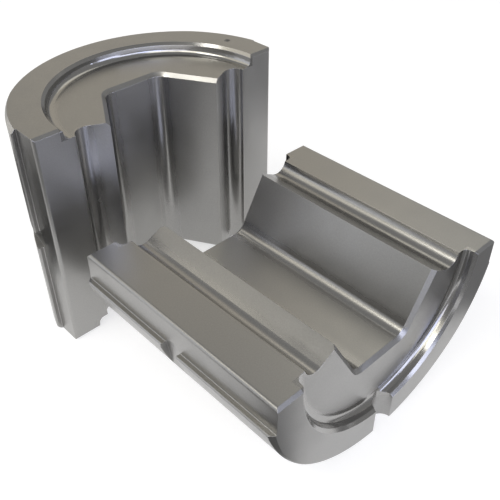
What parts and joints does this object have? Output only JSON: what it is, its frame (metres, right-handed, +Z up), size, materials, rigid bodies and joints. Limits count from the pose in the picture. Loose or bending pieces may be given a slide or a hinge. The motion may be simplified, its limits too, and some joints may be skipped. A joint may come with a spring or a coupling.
{
  "type": "crimping die",
  "caption": "Crimping die in matching half-round halves of satin steel with a hexagonal cavity, a standing half and a half lying on its rounded back.",
  "frame": {"origin": "middle of the pair's footprint, on the surface that both halves stand on", "axes": "+Z up, along the standing half's axis; +Y from the lying half towards the standing half, along the lying half's axis; +X to the right as seen from the front"},
  "size_m": [0.0394, 0.0568, 0.0318],
  "materials": {
    "die_steel": "satin machined"
  },
  "bodies": {
    "root": {"standing_half": "die_steel", "lying_half": "die_steel"}
  },
  "joints": []
}
